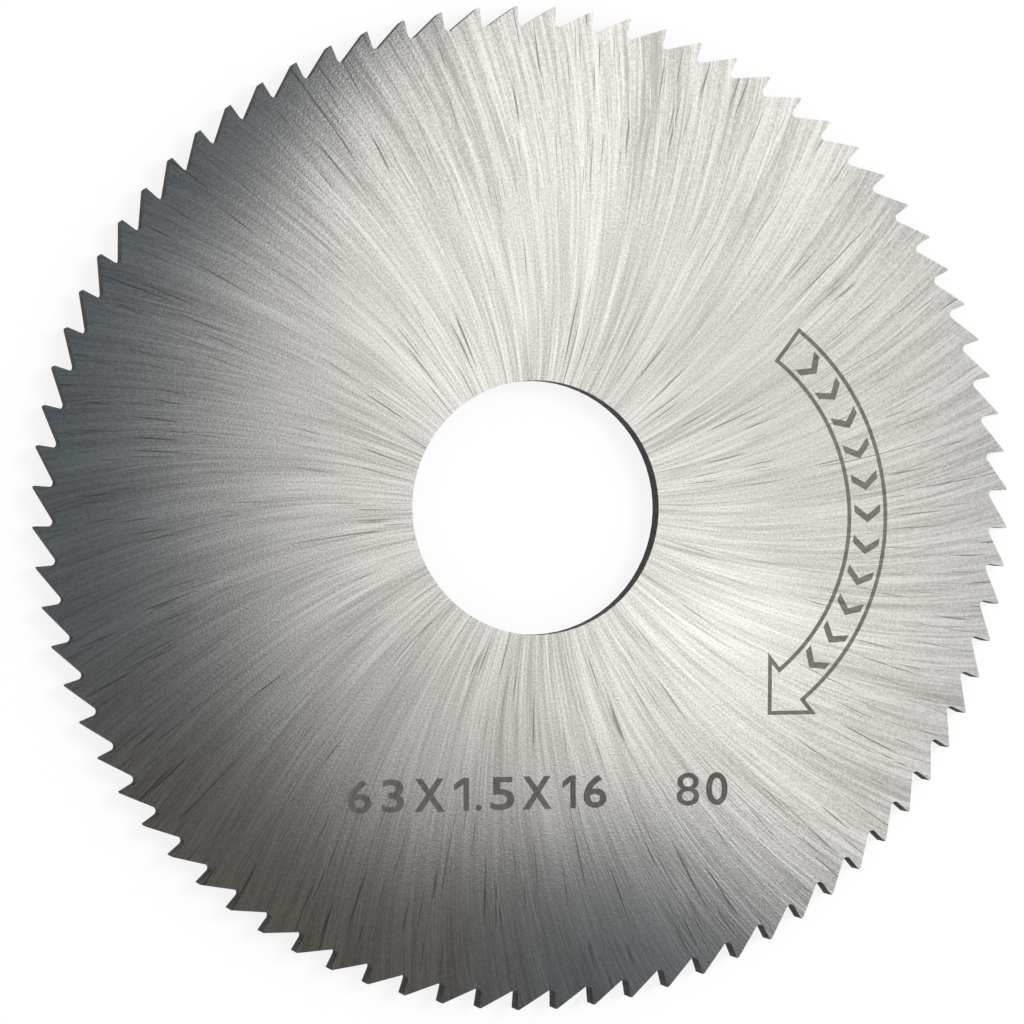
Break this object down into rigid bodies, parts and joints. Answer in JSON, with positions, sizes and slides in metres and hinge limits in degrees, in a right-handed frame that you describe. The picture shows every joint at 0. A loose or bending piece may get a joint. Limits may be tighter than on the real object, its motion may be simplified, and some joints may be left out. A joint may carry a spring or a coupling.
{
  "type": "slitting saw",
  "caption": "Thin round saw blade with fine teeth on its rim, hollow-ground sides and a plain arbor bore, for cutting slots and parting metal.",
  "frame": {"origin": "on the bore axis, level with the lower face of the rim that the saw lies on", "axes": "+Z along the bore axis, out of the marked face; +X through a tooth tip; seen from +Z the saw cuts turning clockwise"},
  "size_m": [0.063, 0.063, 0.0015],
  "materials": {
    "ground_steel": "ground high-speed steel with fine grinding lines that sweep from the bore to the rim"
  },
  "bodies": {
    "root": {"saw_blade": "ground_steel"}
  },
  "joints": []
}
